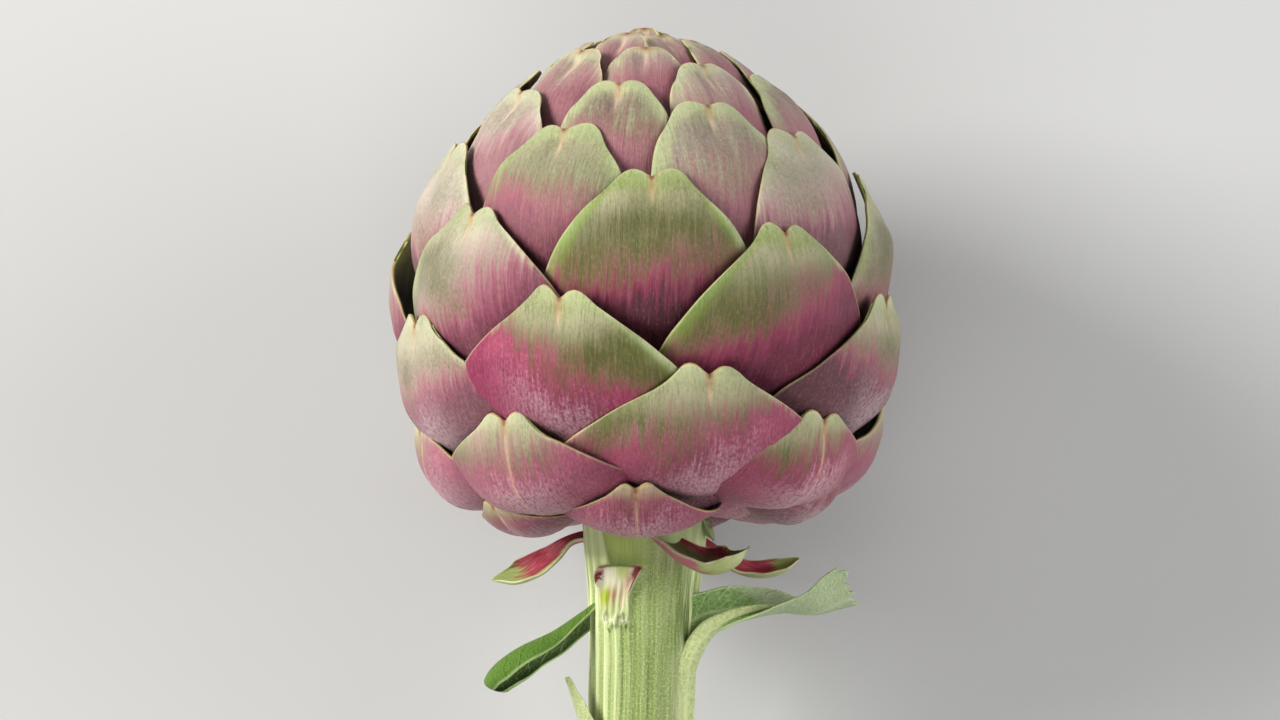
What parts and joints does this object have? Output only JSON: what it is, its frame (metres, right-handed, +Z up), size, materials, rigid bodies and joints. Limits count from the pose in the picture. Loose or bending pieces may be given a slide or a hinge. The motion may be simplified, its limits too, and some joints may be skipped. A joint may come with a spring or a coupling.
{
  "type": "artichoke",
  "caption": "Purple globe artichoke head of overlapping notched bracts on a short cut stem with small leaves, lying on its side.",
  "frame": {"origin": "on the surface the artichoke lies on, under the middle of its bounding box", "axes": "+Y from the cut end of the stem towards the tip of the head, +Z up, away from the surface"},
  "size_m": [0.1074, 0.1844, 0.1043],
  "materials": {
    "bract_skin": "dusty purple fading to sage green, satin",
    "bract_inside": "crimson with a green margin, satin",
    "stem_skin": "pale green with fine pale ribs, matt",
    "leaf_felt": "veined green above, felted grey-green below",
    "leaf_green": "smooth bright green, satin"
  },
  "bodies": {
    "root": {"head": "bract_skin", "stem": "stem_skin", "leaf_broad": "leaf_felt", "leaf_curled": "leaf_green", "leaf_scale": "leaf_felt", "broken_bract_left": "bract_inside", "broken_bract_front": "bract_inside", "broken_bract_right": "bract_inside"}
  },
  "joints": []
}
